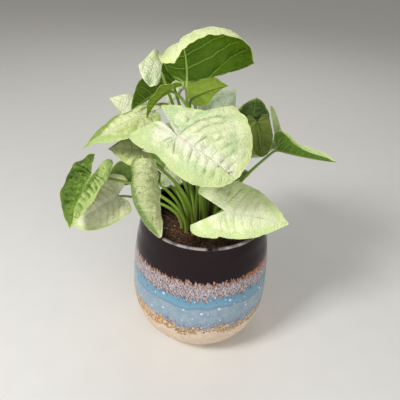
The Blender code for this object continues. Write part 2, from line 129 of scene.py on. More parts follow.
LEAVES = {
    "centre": leaf((2, -12), (-25, -45, 239), (23, -66, 215), (-0.05, -0.75, 0.75), (47, 26),
        lobe=(32, 42), arch=36, droop=6, fold=(0, -10), curl=(-10, -20), shape=("broad", "ear")),
    "front_right": leaf((9, -12), (18, -37, 167), (75, -41, 160), (-0.1, -0.75, 0.7), (31, 25),
        lobe=(30, 34), splay=(10, 22), arch=14, curl=(-25, -20), belly=(1.3, 1.3)),
    "front_left": leaf((-9, -12), (-49, -57, 224), (-36, -62, 151), (0, -1, 0.3), (16, 16),
        fold=(-10, -10), curl=(-60, -60), sweep=-35, belly=(2, 2), shape=("spade", "spade"),
        arrive=(-0.2, -0.75, 0.6)),
    "far_left": leaf((-16, -9), (-103, -22, 184), (-119, -44, 142), (-0.3, -0.9, 0.5), (15, 26),
        lobe=(26, 26), splay=(0, 10), arch=50, curl=(-30, -40), belly=(1.2, 1.5)),
    "low_left": leaf((-21, -1), (-83, -6, 156), (-123, -23, 131), (0.1, -0.6, 0.8), (25, 23),
        lobe=(6, 20), splay=(0, 20), arch=20, belly=(2.2, 1)),
    "shade_left": leaf((-20, 8), (-72, 22, 170), (-105, 20, 156), (0.1, -0.5, 0.8), (16, 16),
        lobe=(12, 12), arch=20),
    "olive_left": leaf((-14, 5), (-62, 2, 202), (-92, 2, 201), (0.1, -0.6, 0.8), (18, 16), lobe=(12, 12),
        arch=20),
    "long_left": leaf((-8, 2), (-61, 2, 235), (-112, -14, 207), (0.1, -0.15, 1), (25, 18), lobe=(16, 30),
        arch=20, curl=(-20, -20)),
    "pale_left": leaf((-12, 12), (-70, 34, 230), (-96, 36, 237), (-0.1, -0.6, 0.7), (14, 12),
        lobe=(20, 20), arch=20),
    "strip": leaf((-8, -5), (-33, -15, 266), (-53, -19, 240), (-0.4, 0.3, 0.8), (12, 12), lobe=(10, 10),
        arch=50, fold=(30, 30)),
    "small_top": leaf((-2, 1), (-43, -2, 277), (-61, -6, 282), (-0.1, -0.7, 0.6), (17, 16), lobe=(3, 3),
        arch=20, belly=(2, 1), shape=("spade", "spade"), arrive=(-0.3, 0, 1)),
    "dark_top": leaf((-6, 9), (-34, 15, 261), (-69, 2, 240), (-0.4, 0.7, 0.5), (27, 10), lobe=(6, 6),
        arch=20, fold=(20, 20), belly=(1.5, 1.2), arrive=(-0.3, 0, 1)),
    "top": leaf((2, -5), (-22, 4, 267), (-29, -40, 294), (-0.07, 0.3, 1), (68, 21), lobe=(10, 10),
        arch=165, fold=(44, -15), curl=(-112, -45), shape=("drip", "flap"), arrive=(0, 0.2, 1)),
    "bright_back": leaf((3, 5), (-20, 28, 243), (15, 32, 257), (0.2, 0.8, 0.5), (14, 30), lobe=(3, 3),
        belly=(1, 1.2), shape=("spade", "spade"), arrive=(-0.1, 0.3, 1)),
    "mid_pale": leaf((0, 12), (-31, 30, 255), (-41, 28, 235), (-0.1, -0.7, 0.6), (7, 8), lobe=(3, 3),
        arch=20),
    "blue_back": leaf((10, 7), (7, 38, 229), (23, 42, 252), (0, -0.7, 0.6), (22, 16), lobe=(16, 16),
        arch=20),
    "dark_right": leaf((9, 0), (36, 12, 230), (39, 14, 254), (0.2, -0.7, 0.7), (20, 18), lobe=(8, 8),
        arch=40, belly=(1.5, 2)),
    "olive_right": leaf((10, -6), (41, 0, 236), (48, -6, 206), (0.2, 0.9, 0.3), (12, 14), lobe=(8, 8),
        arch=20, belly=(2.5, 2.5)),
    "right": leaf((15, -1), (63, 10, 208), (119, 4, 201), (0.1, 0.35, 0.95), (50, 16), lobe=(3, 3),
        arch=-10, fold=(52, 70), curl=(0, 0), shape=("spear", "wedge")),
    "small_inner": leaf((-14, -3), (-33, -8, 176), (-36, -6, 198), (0, -0.8, 0.5), (9, 10), lobe=(6, 6),
        arch=20),
    "back_high": leaf((2, 19), (4, 78, 208), (12, 128, 184), (0, 0.5, 0.9), (30, 30), arch=40),
    "back_left": leaf((-9, 19), (-38, 68, 196), (-62, 116, 172), (-0.3, 0.4, 0.9), (28, 28),
        lobe=(26, 26), arch=40),
    "back_right": leaf((12, 12), (44, 50, 196), (78, 94, 174), (0.4, 0.4, 0.9), (26, 26), arch=40),
    "back_low": leaf((4, 26), (-2, 74, 166), (-2, 124, 144), (0, 0.5, 0.9), (26, 26), arch=40),
    "side_left": leaf((-18, 15), (-60, 56, 158), (-98, 90, 138), (-0.5, 0.2, 0.9), (24, 24), arch=40),
    "low_right": leaf((10, 19), (28, 66, 150), (50, 104, 132), (0.3, 0.4, 0.9), (17, 17), lobe=(20, 20)),
}

# Leaf colours as the photograph shows them, 0 to 255.
CREAM = (228, 234, 196)
MINT = (190, 214, 164)
SPRING = (180, 206, 120)
LEMON = (222, 230, 158)
GREY_GREEN = (170, 184, 134)
MEADOW = (140, 168, 84)
MOSS = (98, 128, 46)
OLIVE = (84, 108, 24)
DEEP = (56, 84, 22)
PINK = (222, 190, 170)
RUST = (150, 84, 60)
PALE_LINE = (236, 238, 212)
LIME_LINE = (168, 190, 96)

# A blade's finish unless it says otherwise. Pairs are as above.
#   face       main colour of the upper side          patch      second colour, in soft patches
#   heart      colour beside the midrib               edge       colours towards the margin
#   edge_from  share of the way out where they start  lines      colour of the side veins
#   midrib     colour of the upper side's midrib      marks      1 for red-brown marks along the midrib
#   under      colour of the lower side by the midrib, and under_far at the margin
#   ribs       colour of the lower side's veins       gap        distance between side veins, mm
#   speckle    strength of the small flecks           fleck      their colour, or None for a dark one
#   quilt      height of the puffs between veins, mm  puffs      how far out from the midrib they reach, mm
#   blisters   height of small bumps, as a share      rumple     height of slow unevenness, mm
#   gloss      roughness
PLAIN = {"face": CREAM, "patch": MINT, "heart": CREAM, "edge": (SPRING, SPRING), "edge_from": (0.84, 0.84),
         "lines": PALE_LINE, "midrib": PALE_LINE, "marks": 0.0, "under": OLIVE, "under_far": MOSS,
         "ribs": LIME_LINE, "speckle": 0.3, "fleck": None, "quilt": (0.5, 0.5), "puffs": (60.0, 60.0),
         "rumple": 0.8, "gap": 7.0, "blisters": 0.25, "gloss": 0.42}


def tint(face, patch, heart=CREAM, **more):
    """One blade's finish: the first three colours, and what else differs from a plain one."""
    return {**PLAIN, "face": face, "patch": patch, "heart": heart, **more}


LOOKS = {
    "centre": tint((224, 232, 186), (198, 218, 164), (234, 235, 212), midrib=PINK, marks=1, gap=8,
        edge=((210, 226, 146), (196, 213, 148)), edge_from=(0.84, 0.58), quilt=(3.2, 3.2), puffs=(36, 13),
        speckle=0.25, rumple=1.1, blisters=0.18),
    "front_right": tint((236, 246, 190), (212, 232, 162), (238, 243, 206), fleck=PALE_LINE, gap=8,
        edge=((212, 230, 164), (212, 230, 164)), edge_from=(0.7, 0.7), quilt=(0.8, 0.8),
        lines=(240, 243, 220), speckle=0.6, rumple=1.8),
    "front_left": tint((186, 196, 132), (140, 164, 92), (198, 205, 150), edge=(CREAM, (112, 144, 62)),
        edge_from=(0.9, 0.6), speckle=0.9, quilt=(1.7, 1.7), blisters=0.6, gap=6, rumple=2.8,
        midrib=(198, 208, 152), under=(84, 124, 44), under_far=(100, 142, 50)),
    "far_left": tint((92, 122, 32), (62, 92, 18), (124, 156, 60), edge=((178, 200, 118), MOSS),
        edge_from=(0.3, 0.84), lines=(156, 186, 98), midrib=(178, 212, 114), speckle=0.7, quilt=(4, 4),
        blisters=0.5, gap=6.5, rumple=3.2, gloss=0.3),
    "low_left": tint((238, 242, 194), (212, 220, 160), (240, 243, 206), lines=(226, 232, 186),
        speckle=0.4, quilt=(0.9, 0.9), rumple=2.2),
    "shade_left": tint((96, 116, 34), (70, 92, 20), MOSS, edge=(MEADOW, MEADOW), lines=MEADOW,
        midrib=MEADOW),
    "olive_left": tint((222, 230, 156), (182, 194, 110), (228, 234, 170), edge=(SPRING, MOSS),
        lines=MEADOW, midrib=SPRING, rumple=1.4),
    "long_left": tint((220, 228, 164), (178, 198, 106), (228, 234, 180), edge=(SPRING, (124, 158, 58)),
        edge_from=(0.7, 0.6), midrib=(198, 196, 138), speckle=0.6, quilt=(1.2, 1.2), rumple=2.6),
    "pale_left": tint((234, 241, 200), (220, 232, 180), (238, 243, 206), edge=(LEMON, LEMON),
        speckle=0.05, quilt=(0.3, 0.3)),
    "strip": tint((222, 232, 182), MINT, under=(128, 158, 30), under_far=(108, 138, 24), rumple=1.2),
    "small_top": tint((216, 226, 178), (174, 198, 146), (226, 232, 196), edge=(CREAM, MINT), speckle=0.9,
        rumple=1.4),
    "dark_top": tint(MINT, MEADOW, under=(84, 118, 10), under_far=(104, 136, 18), ribs=(140, 168, 62)),
    "top": tint((222, 234, 174), (204, 220, 150), (228, 236, 186), ribs=(170, 198, 80), quilt=(1.4, 0.8),
        edge=((230, 240, 176), (214, 230, 150)), under=(86, 124, 4), under_far=(102, 142, 10), gap=11,
        rumple=1.2),
    # Its lower side is painted far paler than its own green: painted light shining through the blade.
    "bright_back": tint(MINT, MEADOW, under=(196, 226, 88), under_far=(164, 200, 56), gap=9,
        ribs=(206, 228, 116), quilt=(1.4, 1.4), rumple=2, gloss=0.32),
    "mid_pale": tint((204, 216, 170), (150, 168, 132), speckle=0.6),
    "blue_back": tint((228, 244, 212), (208, 230, 194), (232, 244, 218), speckle=0.1, rumple=1.6,
        edge=((214, 234, 190), (214, 234, 190))),
    "dark_right": tint((50, 72, 16), (32, 52, 8), (80, 106, 44), edge=(MEADOW, MOSS),
        lines=(102, 128, 66), midrib=(130, 154, 92), quilt=(3, 3), gap=6, rumple=2.6, speckle=0.7,
        gloss=0.28),
    "olive_right": tint(MOSS, OLIVE, under=(100, 114, 40), under_far=(112, 126, 46),
        ribs=(114, 128, 52)),
    "right": tint((196, 216, 146), (172, 200, 118), (200, 218, 154), edge=((206, 224, 156), SPRING),
        under=(84, 118, 24), under_far=(104, 138, 36), ribs=(124, 156, 52), gap=6),
    "small_inner": tint((190, 202, 146), (150, 170, 108), speckle=0.8),
    "back_left": tint(GREY_GREEN, MEADOW, MINT),
    "back_right": tint((140, 166, 92), MOSS, MEADOW, lines=SPRING),
    "side_left": tint(MEADOW, MOSS, SPRING, lines=SPRING),
    "low_right": tint(MOSS, DEEP, MEADOW, lines=MEADOW),
}
DARK_LEAVES = {"far_left", "shade_left", "dark_right", "dark_top", "strip",
               "olive_right", "bright_back", "right"}

# Stalk colours from the foot to the blade, paler at the top under a pale blade than under a dark one.
STALK_FOOT_COLOUR = (140, 150, 66)
STALK_COLOUR = (126, 160, 50)
STALK_TOP_COLOUR = (176, 202, 96)
DARK_STALK_TOP_COLOUR = (100, 128, 40)

# The dry sheath scraps at the stalks' feet: foot on the soil, top, and width.
DRY_SHEATHS = (((-11, -20), (-15, -27, 134), 4.0), ((-14, -17), (-22, -23, 130), 3.2),
               ((-4, -21), (-4, -29, 131), 3.0), ((12, -17), (17, -24, 128), 3.2),
               ((-21, -10), (-28, -15, 128), 3.0))
SHEATH_THICKNESS = 0.35
SHEATH_ROWS = 14
SHEATH_COLUMNS = 7

# Glaze colours from the foot up, each ground before its flecks.
CLAY, PALE_CLAY = (216, 192, 168), (226, 208, 188)
GOLD, DULL_GOLD, BROWN_FLECK, CREAM_FLECK = (216, 164, 98), (196, 166, 124), (132, 106, 84), (224, 208, 188)
LILAC, SLATE_FLECK, SKY_FLECK = (170, 162, 172), (104, 108, 128), (134, 162, 184)
MIST_BLUE, DULL_BLUE, MIST_FLECK = (146, 164, 176), (124, 152, 172), (182, 190, 198)
CLEAR_BLUE, STRIPE_BLUE, WHITE_DOT = (104, 156, 182), (86, 130, 156), (224, 232, 236)
DRIP_BROWN, DRIP_PALE, DRIP_BLUE, DRIP_WHITE = (104, 84, 80), (180, 166, 168), (132, 150, 174), (212, 206, 206)
DRIP_EDGE, DRIP_RUST = (74, 60, 62), (132, 88, 60)
FRINGE, FRINGE_PALE, FRINGE_ORANGE = (92, 54, 34), (172, 118, 80), (190, 100, 38)
RIM_BLACK, RIM_BROWN, RIM_DOT, LIP_GLAZE_AND_HIGHLIGHT = (27, 17, 20), (34, 23, 26), (170, 160, 156), (196, 184, 184)

# Soil: crumbs, bark slivers and white grains, by count and by smallest and largest size.
SOIL_DEPTH = 40.0
SOIL_SIDES = 160
SOIL_RINGS = 70
CRUMBS = 900
CRUMB_SIZES = (0.5, 2.0)
SLIVERS = 170
SLIVER_LENGTHS = (2.5, 7.0)
SLIVER_TAPER = (0.15, 0.4, 0.5, 0.5, 0.4, 0.15)
GRAINS = 34
GRAIN_SIZES = (0.45, 1.2)
STALK_CLEARANCE = 3.4
SEED = 7

# The stage, in metres and watts: each light's place, size and power.
LIGHTS = {"key": ((-0.7, -0.6, 0.95), 0.3, 11.0), "fill": ((0.5, -1.0, 0.6), 0.9, 5.0),
          "back": ((0.1, 0.9, 1.0), 0.8, 2.5)}
LIGHT_TARGET = (0.0, 0.0, 0.16)
FLOOR_HALF_WIDTH = 12.0
FLOOR_COLOURS = ((226, 224, 220), (232, 230, 226))
ROOM_COLOUR = (240, 238, 232)
ROOM_STRENGTH = 0.33


def linear(colour):
    """A screen colour, 0 to 255, as the light values that a shader takes."""
    shares = [c / 255 for c in colour]
    return tuple(s / 12.92 if s <= 0.04045 else ((s + 0.055) / 1.055) ** 2.4 for s in shares) + (1.0,)


def darker(colour, share):
    return tuple(int(c * share) for c in colour)


def clamp(share):
    return min(max(share, 0), 1)


def unit(vector):
    return vector / np.linalg.norm(vector)


def unit_rows(rows):
    return rows / np.linalg.norm(rows, axis=1)[:, None]


class Paint:
    """A material in the making. Each call adds a node and returns the socket that holds its result."""

    def __init__(self, name, roughness):
        self.material = bpy.data.materials.new(name)
        self.material.use_nodes = True
        self.tree = self.material.node_tree
        self.shader = self.tree.nodes["Principled BSDF"]
        self.set("Roughness", roughness)

    def feed(self, node, key, value):
        """Link a socket to a node's input, or set the input to a value."""
        if isinstance(value, bpy.types.NodeSocket):
            self.tree.links.new(value, node.inputs[key])
        else:
            node.inputs[key].default_value = value

    def set(self, key, value):
        self.feed(self.shader, key, value)

    def node(self, kind, inputs, **settings):
        node = self.tree.nodes.new(kind)
        for key, value in settings.items():
            setattr(node, key, value)
        for key, value in inputs.items():
            self.feed(node, key, value)
        return node

    def add(self, kind, inputs, output=0, **settings):
        return self.node(kind, inputs, **settings).outputs[output]

    def attribute(self, name, output="Vector"):
        return self.add("ShaderNodeAttribute", {}, output, attribute_name=name)

    def millimetres(self):
        """The place on the object, in millimetres."""
        place = self.add("ShaderNodeTexCoord", {}, "Object")
        return self.add("ShaderNodeVectorMath", {0: place, "Scale": 1 / MM}, operation="SCALE")

    def parts(self, vector):
        return tuple(self.node("ShaderNodeSeparateXYZ", {0: vector}).outputs)

    def join(self, x, y, z):
        return self.add("ShaderNodeCombineXYZ", {0: x, 1: y, 2: z})

    def math(self, operation, *values):
        return self.add("ShaderNodeMath", dict(enumerate(values)), operation=operation)

    def times(self, first, second):
        return self.math("MULTIPLY", first, second)

    def step(self, value, low, high, first=0.0, last=1.0):
        """A soft step: first below low, last above high."""
        return self.add("ShaderNodeMapRange", {0: value, 1: low, 2: high, 3: first, 4: last},
                        interpolation_type="SMOOTHSTEP")

    def rise(self, value, low, high, most=1.0):
        """Nothing below low, softly up to most above high."""
        return self.step(value, low, high, 0.0, most)

    def fall(self, value, low, high, most=1.0):
        """Most below low, softly down to nothing above high."""
        return self.step(value, low, high, most, 0.0)

    def mix(self, share, first, second):
        """One colour turning into another. Colours are screen colours or sockets."""
        ends = [c if isinstance(c, bpy.types.NodeSocket) else linear(c) for c in (first, second)]
        return self.add("ShaderNodeMix", {0: share, 6: ends[0], 7: ends[1]}, 2, data_type="RGBA")

    def noise(self, vector, size, detail=2.0):
        """Soft noise, 0 to 1 with its middle at 0.5, whose blots are about size millimetres wide."""
        return self.add("ShaderNodeTexNoise", {"Vector": vector, "Scale": 1 / size, "Detail": detail})

    def coats(self, ground, *coats):
        """A ground under coats of other colours. A coat is how much it covers, 0 to 1, and its colour."""
        for cover, colour in coats:
            ground = self.mix(cover, ground, colour)
        return ground

    def blots(self, vector, size, low, high, most=1.0, detail=2.0):
        """Noise cut into soft blots: nothing where it is below low, most where it is above high."""
        return self.rise(self.noise(vector, size, detail), low, high, most)

    def spots(self, vector, size, radius, share):
        """Round spots of a radius, about size millimetres apart, in a share of the places."""
        spots = self.node("ShaderNodeTexVoronoi", {"Vector": vector, "Scale": 1 / size}).outputs
        near = self.fall(spots["Distance"], 0.6 * radius / size, radius / size)
        return self.times(near, self.math("LESS_THAN", self.parts(spots["Color"])[0], share))

    def cells(self, vector, size):
        """Rounded cells about size millimetres wide: 0 on the fine lines between them, 1 inside."""
        inputs = {"Vector": vector, "Scale": 1 / size}
        return self.rise(self.add("ShaderNodeTexVoronoi", inputs, feature="DISTANCE_TO_EDGE"), 0.0, 0.25)

    def bump(self, height, distance, strength=1.0):
        """Relief of a height that runs 0 to 1 over a distance in millimetres."""
        inputs = {"Height": height, "Strength": strength, "Distance": distance * MM}
        self.set("Normal", self.add("ShaderNodeBump", inputs))


class BladePaint(Paint):
    """A blade's material, which reads where each point lies on the flat blade and between the side veins."""

    def __init__(self, name, look):
        super().__init__(name, look["gloss"])
        self.look = look
        self.place = self.millimetres()
        phase, gap, self.reach = self.parts(self.attribute("vein"))
        along, self.across, self.rim = self.parts(self.attribute("flat"))
        self.off_midrib = self.math("ABSOLUTE", self.across)
        self.off_vein = self.times(self.math("PINGPONG", phase, 0.5), gap)
        self.inside = self.fall(self.rim, 0.78, 0.96)
        self.side_vein = self.times(self.fall(self.off_vein, 0.1, 0.7), self.inside)
        near = self.math("LESS_THAN", self.off_midrib, self.step(self.reach, 0, 1, 0.6, 0.15))
        self.midrib = self.times(near, self.math("GREATER_THAN", along, -1.5))

    def margin(self):
        """A coat of each half's own colour towards its margin, from a line that wanders a little."""
        left_from, right_from = self.look["edge_from"]
        left_colour, right_colour = self.look["edge"]
        left = self.math("GREATER_THAN", self.across, 0)
        start = self.math("MULTIPLY_ADD", left, left_from - right_from, right_from)
        wander = self.math("MULTIPLY_ADD", self.noise(self.place, 7, 3), 0.3, -0.15)
        beyond = self.math("SUBTRACT", self.math("ADD", self.rim, wander), start)
        return self.rise(beyond, 0, 0.18, 0.9), self.mix(left, right_colour, left_colour)

    def upper_side(self):
        """The face's patches, heart, flecks, margin, painted shade in the valleys, side veins, pale edge,
        midrib and marks.
        """
        look, place = self.look, self.place
        shade = darker(look["patch"], 0.7)
        off_heart = self.math("ADD", self.off_midrib, self.times(self.noise(place, 6), 8))
        flecks = self.times(self.blots(place, 1.2, 0.55, 0.64, 1, 3), self.blots(place, 8, 0.42, 0.60))
        # Painted shade in the valleys along the side veins, uneven and strongest where the blade is puffy.
        valley_shade = self.times(self.fall(self.off_vein, 0.3, 2.6), self.inside)
        uneven = self.times(self.attribute("puffy", "Fac"), self.blots(place, 9, 0.38, 0.62, 0.22))
        marks = self.times(self.spots(place, 3.6, 1.3, 0.7), self.fall(self.off_midrib, 1, 4))
        marks = self.times(marks, self.rise(self.reach, 0.5, 0.7))
        return self.coats(
            look["face"],
            (self.blots(place, 15, 0.44, 0.60, 1, 4), look["patch"]),
            (self.fall(off_heart, 5, 16, 0.75), look["heart"]),
            (self.times(flecks, look["speckle"]), look["fleck"] or shade),
            self.margin(),
            (self.times(valley_shade, uneven), shade),
            (self.times(self.side_vein, 0.3), look["lines"]),
            (self.rise(self.rim, 0.965, 0.99, 0.5), LEMON),
            (self.times(self.midrib, 0.5), look["midrib"]),
            (self.times(marks, 0.8 * look["marks"]), RUST))

    def lower_side(self):
        """A ground that changes towards the margin, duller in blots, with painted shade beside the ribs, and
        the ribs.
        """
        under, far, ribs = self.look["under"], self.look["under_far"], self.look["ribs"]
        dull_and_rib_shade = darker(under, 0.8)
        return self.coats(
            under,
            # The margin colour, where it is paler than the ground, is painted light shining through the thin
            # blade.
            (self.rise(self.off_midrib, 2, 30), far),
            (self.blots(self.place, 12, 0.4, 0.65, 0.5, 3), dull_and_rib_shade),
            (self.rise(self.off_vein, 1.5, 5, 0.4), far),
            # Painted shade beside the ribs.
            (self.fall(self.off_vein, 0.3, 2.2, 0.5), dull_and_rib_shade),
            (self.times(self.fall(self.off_vein, 0.15, 0.8, 0.65), self.inside), ribs),
            (self.rise(self.rim, 0.96, 0.99, 0.6), ribs),
            (self.midrib, ribs))


def blade_material(name, look):
    """Both sides of a blade, with a fine grain, small cells and veins that sink in a little."""
    paint = BladePaint(name, look)
    under = paint.attribute("under", "Fac")
    paint.set("Base Color", paint.mix(under, paint.upper_side(), paint.lower_side()))
    grain = paint.noise(paint.place, 0.8, 3)
    relief = paint.math("MULTIPLY_ADD", paint.cells(paint.place, 2.4), 0.9, grain)
    for vein in (paint.side_vein, paint.midrib):
        relief = paint.math("SUBTRACT", relief, paint.times(vein, 0.5))
    paint.bump(relief, 0.4, 0.9)
    paint.set("Roughness", paint.step(grain, 0.3, 0.7, look["gloss"] - 0.06, look["gloss"] + 0.1))
    paint.set("Specular IOR Level", 0.3)
    paint.set("Subsurface Weight", 0.1)
    paint.set("Subsurface Radius", (0.8, 1, 0.35))
    paint.set("Subsurface Scale", 0.001)
    return paint.material


def stalk_material(name, top):
    """Stalks: green with long streaks, yellower at the foot, and with a top colour towards the blade."""
    paint = Paint(name, 0.38)
    along, turn, wide = paint.parts(paint.attribute("stalk"))
    streaks = paint.noise(paint.join(paint.times(turn, 5), paint.times(along, 3), wide), 1)
    paint.set("Base Color", paint.coats(
        STALK_FOOT_COLOUR,
        (paint.rise(along, 0, 0.35), STALK_COLOUR),
        (paint.rise(along, 0.7, 1), top),
        (paint.rise(streaks, 0.45, 0.75, 0.5), top)))
    paint.bump(streaks, 0.3)
    return paint.material


class GlazePaint(Paint):
    """The pot's glaze. Blots and borders are read on one ring, so they don't stretch where the pot widens."""

    def __init__(self):
        super().__init__("pot_glaze", 0.12)
        x, y, self.height = self.parts(self.millimetres())
        ring = self.add("ShaderNodeVectorMath", {0: self.join(x, y, 0)}, operation="NORMALIZE")
        ring = self.add("ShaderNodeVectorMath", {0: ring, "Scale": POT_RIM_RADIUS}, operation="SCALE")
        self.ring_x, ring_y, _ = self.parts(ring)
        self.around = self.join(self.ring_x, ring_y, 0)
        self.streaky = self.join(self.ring_x, ring_y, self.times(self.height, 0.3))
        self.solid = self.join(self.ring_x, ring_y, self.height)
        self.above_end = self.border(DRIP_END, 4.5, 10, 9)
        self.above_dark = self.border(DARK_EDGE, 1.6, 3, 8)

    def border(self, level, broad, ragged, teeth):
        """How far the place is above a border with broad sways, ragged ones and fine teeth, all in mm."""
        above = self.math("SUBTRACT", self.height, level)
        kinds = ((self.around, 24, broad, 1), (self.streaky, 5, ragged, 2),
                 (self.streaky, 1.4, teeth, 2))
        for vector, size, amount, detail in kinds:
            sway = self.math("MULTIPLY_ADD", self.noise(vector, size, detail), 2 * amount, -amount)
            above = self.math("SUBTRACT", above, sway)
        return above

    def tan(self):
        """The lower border: gold on the left and duller on the right."""
        return self.coats(
            GOLD,
            (self.rise(self.ring_x, -45, 10), DULL_GOLD),
            (self.blots(self.solid, 1.3, 0.46, 0.56, 1, 3), BROWN_FLECK),
            (self.blots(self.solid, 2.2, 0.54, 0.62, 1, 3), CREAM_FLECK))

    def lilac(self):
        return self.coats(
            LILAC,
            (self.blots(self.solid, 0.9, 0.44, 0.54), SLATE_FLECK),
            (self.blots(self.solid, 1.7, 0.54, 0.6), SKY_FLECK))

    def blue(self):
        """Misty blue below a wavy stripe, clear blue above it, and white dots of two sizes."""
        above_stripe = self.border(STRIPE_HEIGHT, 5, 2, 0.6)
        large, small = self.spots(self.solid, 8, 1.5, 0.55), self.spots(self.solid, 4.2, 0.75, 0.4)
        return self.coats(
            MIST_BLUE,
            (self.blots(self.solid, 6, 0.36, 0.66, 1, 5), DULL_BLUE),
            (self.blots(self.solid, 0.7, 0.48, 0.6, 0.5), MIST_FLECK),
            (self.rise(above_stripe, -1, 5, 0.9), CLEAR_BLUE),
            (self.fall(self.math("ABSOLUTE", above_stripe), 0.4, 2.6, 0.55), STRIPE_BLUE),
            (self.times(self.math("MAXIMUM", large, small), 0.9), WHITE_DOT))

    def drip(self):
        """Speckled drips, dark at their lower ends and rusty where they leave the rim's band."""
        dots = self.noise(self.streaky, 0.6)
        near_rim = self.rise(self.above_dark, -8, -2, 0.8)
        return self.coats(
            DRIP_BROWN,
            (self.rise(dots, 0.42, 0.54), DRIP_PALE),
            (self.blots(self.streaky, 1.6, 0.55, 0.62, 0.7), DRIP_BLUE),
            (self.blots(self.streaky, 0.9, 0.58, 0.64), DRIP_WHITE),
            (self.fall(self.above_end, 0.3, 2.8, 0.8), DRIP_EDGE),
            (self.times(near_rim, self.fall(dots, 0.44, 0.58)), DRIP_RUST))

    def fringe(self):
        """The rust fringe under the rim's band, orange on the right."""
        return self.coats(
            FRINGE,
            (self.blots(self.streaky, 0.7, 0.42, 0.58), FRINGE_PALE),
            (self.rise(self.ring_x, 25, 55, 0.8), FRINGE_ORANGE))

    def rim(self):
        return self.coats(
            RIM_BLACK,
            (self.noise(self.solid, 22), RIM_BROWN),
            (self.spots(self.solid, 17, 0.4, 0.25), RIM_DOT))


def pot_material():
    """The pot from the foot up: bare clay, gold, lilac, blue, drips, rust fringe, near-black rim, and a pale
    lip of thin glaze and painted highlight.
    """
    paint = GlazePaint()
    off_wave = paint.math("ABSOLUTE", paint.math("SUBTRACT", paint.ring_x, WAVE_PLACE))
    foot_edge = paint.math("MULTIPLY_ADD", paint.fall(off_wave, 1, WAVE_WIDTH), WAVE_HEIGHT, FOOT_EDGE)
    above_foot = paint.border(foot_edge, 6, 8, 4)
    gold_end = paint.math("ADD", paint.fall(paint.ring_x, -50, -15, GOLD_EXTRA), TAN_START)
    in_fringe = paint.math("ADD", paint.above_dark, paint.step(paint.ring_x, 20, 55, 1.2, 4.2))
    # A broken pale line along the lip: partly thinner glaze, partly a painted highlight.
    off_lip = paint.math("ABSOLUTE", paint.math("SUBTRACT", paint.height, POT_HEIGHT - 0.5))
    lip_glaze_and_highlight = paint.times(paint.fall(off_lip, 0.25, 0.9), paint.blots(paint.around, 9, 0.35, 0.6))
    paint.set("Base Color", paint.coats(
        CLAY,
        (paint.blots(paint.solid, 5, 0.38, 0.65, 1, 4), PALE_CLAY),
        (paint.rise(above_foot, -0.6, 0.9), paint.tan()),
        (paint.rise(paint.border(gold_end, 5.5, 9, 8), -1.5, 1.2), paint.lilac()),
        (paint.rise(paint.border(BLUE_END, 5, 8, 9), -2.4, 2), paint.blue()),
        (paint.rise(paint.above_end, -0.5, 0.4), paint.drip()),
        (paint.rise(in_fringe, -0.7, 0.9), paint.fringe()),
        (paint.rise(paint.above_dark, -0.5, 0.5), paint.rim()),
        (paint.times(lip_glaze_and_highlight, 0.7), LIP_GLAZE_AND_HIGHLIGHT)))
    paint.set("Roughness", paint.step(above_foot, -0.6, 0.9, 0.68, 0.14))
    paint.set("Specular IOR Level", 0.15)
    pits = paint.math("MULTIPLY_ADD", paint.noise(paint.solid, 5), 1.5, paint.noise(paint.solid, 0.6))
    paint.bump(pits, 0.12, 0.4)
    return paint.material


def soil_material(name, dark, light, size, roughness=0.95):
    """Crumbly stuff: two browns in blots of a size, with a rough surface."""
    paint = Paint(name, roughness)
    place = paint.millimetres()
    paint.set("Base Color", paint.mix(paint.blots(place, size, 0.4, 0.65, 1, 4), dark, light))
    paint.bump(paint.noise(place, size / 3, 4), 0.5)
    return paint.material


def new_object(name, data):
    thing = bpy.data.objects.new(name, data)
    bpy.context.scene.collection.objects.link(thing)
    return thing


def new_piece(name, points, faces, materials, node, parts=None):
    """A smooth-shaded piece of the object, riding on its body in place of a node. Points are in mm."""
    mesh = bpy.data.meshes.new(name)
    mesh.from_pydata((np.asarray(points) * MM).tolist(), [], faces)
    for material in materials:
        mesh.materials.append(material)
    if parts is not None:
        mesh.polygons.foreach_set("material_index", parts)
    mesh.shade_smooth()
    mesh.set_sharp_from_angle(angle=radians(60))
    piece = new_object(name, mesh)
    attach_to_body(piece, "root")
    if node:
        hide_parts(node)
    return piece


def note(piece, name, kind, values):
    """Keep a value for each point of a piece, for its material to read."""
    store = piece.data.attributes.new(name, kind, "POINT")
    key = "vector" if kind == "FLOAT_VECTOR" else "value"
    store.data.foreach_set(key, np.ravel(values).astype(np.float32))


def grid_faces(rows, columns, start=0, closed=True):
    """Faces between rows of points. Closed rows run all round, and open ones end at an edge."""
    faces = []
    for row in range(start, start + (rows - 1) * columns, columns):
        for j in range(columns if closed else columns - 1):
            a, b = row + j, row + (j + 1) % columns
            faces.append((a, b, b + columns, a + columns))
    return faces


def shift(faces, start):
    """Faces whose points come after others in one mesh."""
    return [tuple(i + start for i in face) for face in faces]


def smooth_through(keys, count):
    """Points evenly spread along a smooth curve through the keys."""
    keys = np.array(keys, float)
    ends = np.vstack([2 * keys[0] - keys[1], keys, 2 * keys[-1] - keys[-2]])
    found = []
    for spot in np.linspace(0, len(keys) - 1, count):
        k = min(int(spot), len(keys) - 2)
        t = spot - k
        a, b, c, d = ends[k:k + 4]
        found.append(0.5 * (2 * b + (c - a) * t + (2 * a - 5 * b + 4 * c - d) * t ** 2
                            + (3 * b - a - 3 * c + d) * t ** 3))
    return np.array(found)


def blade_length(leaf):
    """The midrib's own length: the arched blade is longer than the straight line from stalk to tip."""
    chord = np.linalg.norm(np.subtract(leaf["tip"], leaf["attach"]))
    half = radians(leaf["arch"]) / 2
    return chord * half / sin(half)


